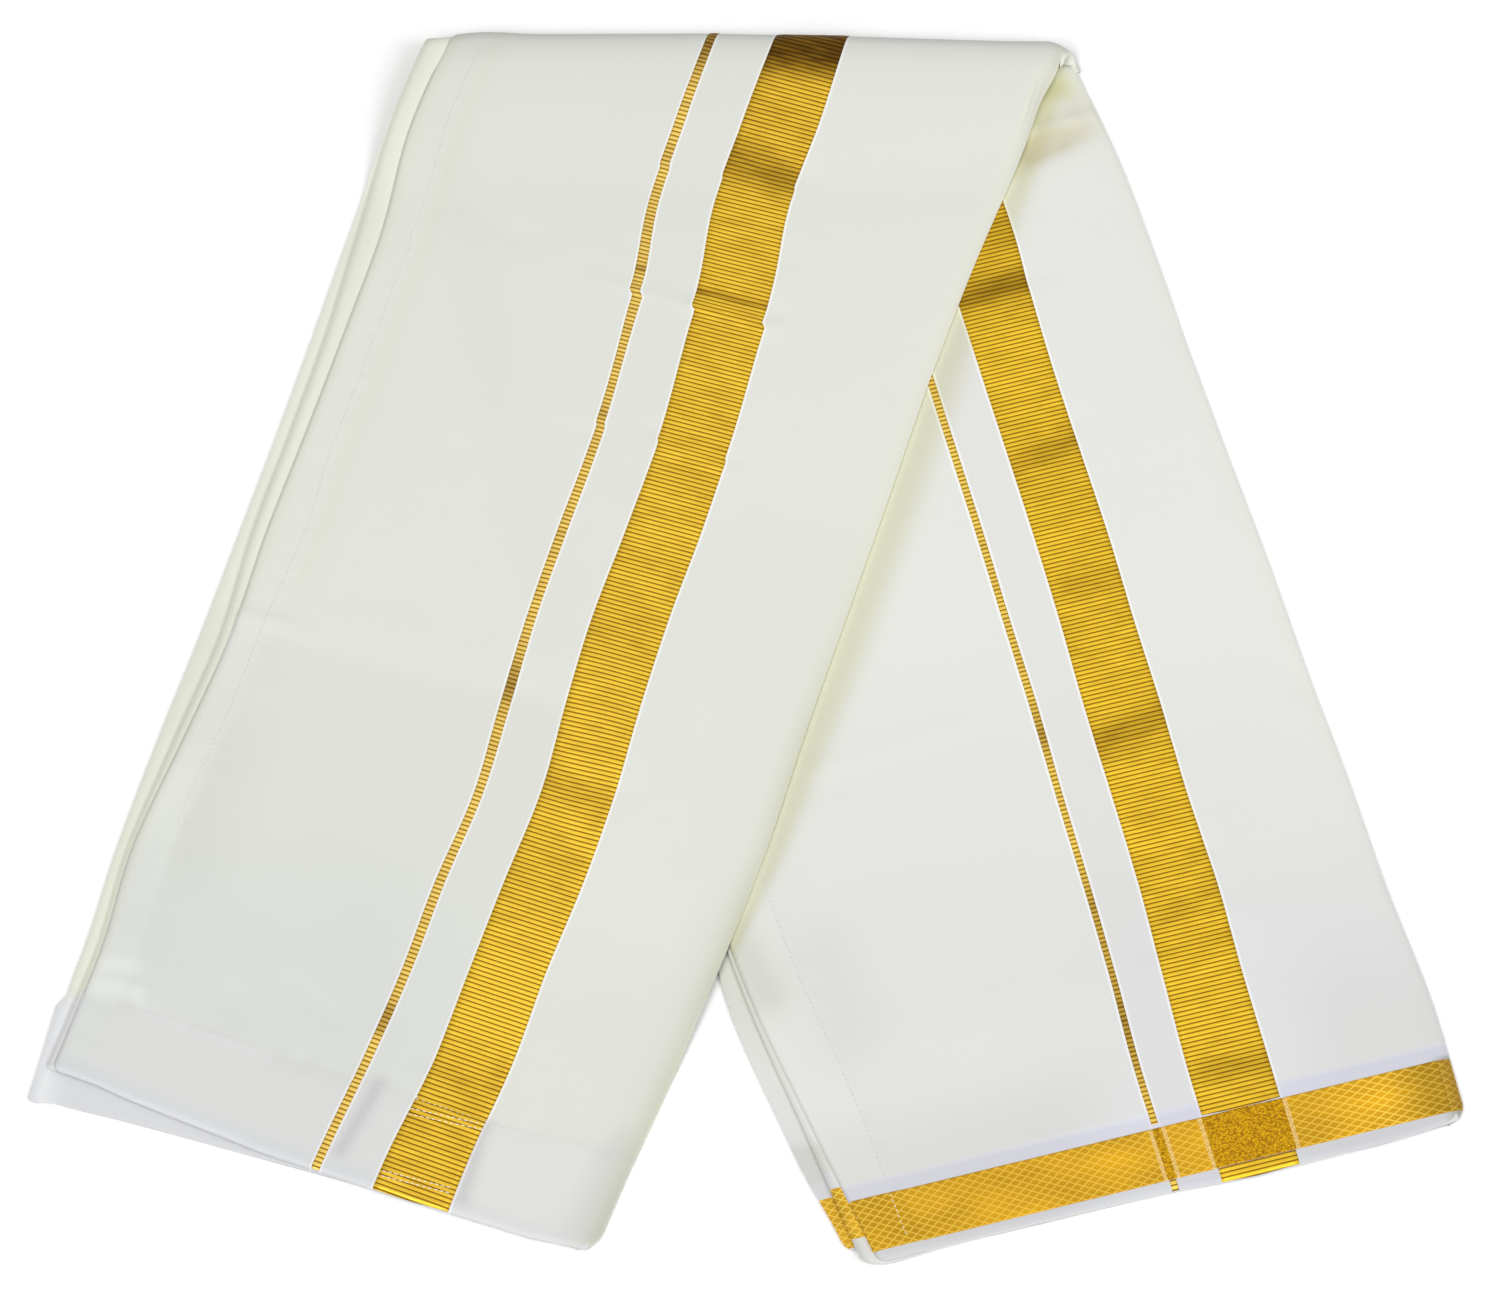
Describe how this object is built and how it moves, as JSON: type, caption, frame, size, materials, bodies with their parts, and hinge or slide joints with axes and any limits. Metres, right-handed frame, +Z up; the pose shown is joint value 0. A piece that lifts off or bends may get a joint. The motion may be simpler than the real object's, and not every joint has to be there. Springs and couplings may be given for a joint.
{
  "type": "dhoti cloth",
  "caption": "Cotton dhoti cloth folded lengthwise into a strip and folded over at the top, its legs lying flat as an upside-down V, with gold zari borders and stitched hems.",
  "frame": {"origin": "on the ground under the middle of the folded cloth's bounding box", "axes": "+X to the viewer's right along the top fold, +Y away from the viewer towards the top fold, +Z up"},
  "size_m": [0.711, 0.7135, 0.02],
  "materials": {
    "bordered_cotton": "matt cream plain-weave cotton with ribbed gold zari borders and a lattice end band",
    "hem_cotton": "matt cotton, doubled and stitched",
    "plain_cotton": "matt cream plain-weave cotton"
  },
  "bodies": {
    "root": {"front_leg_panel": "bordered_cotton", "back_leg_panel": "bordered_cotton", "front_side_hem": "hem_cotton", "front_end_hem": "hem_cotton", "back_side_hem": "hem_cotton", "front_hidden_layers": "plain_cotton", "back_hidden_layers": "plain_cotton"}
  },
  "joints": []
}
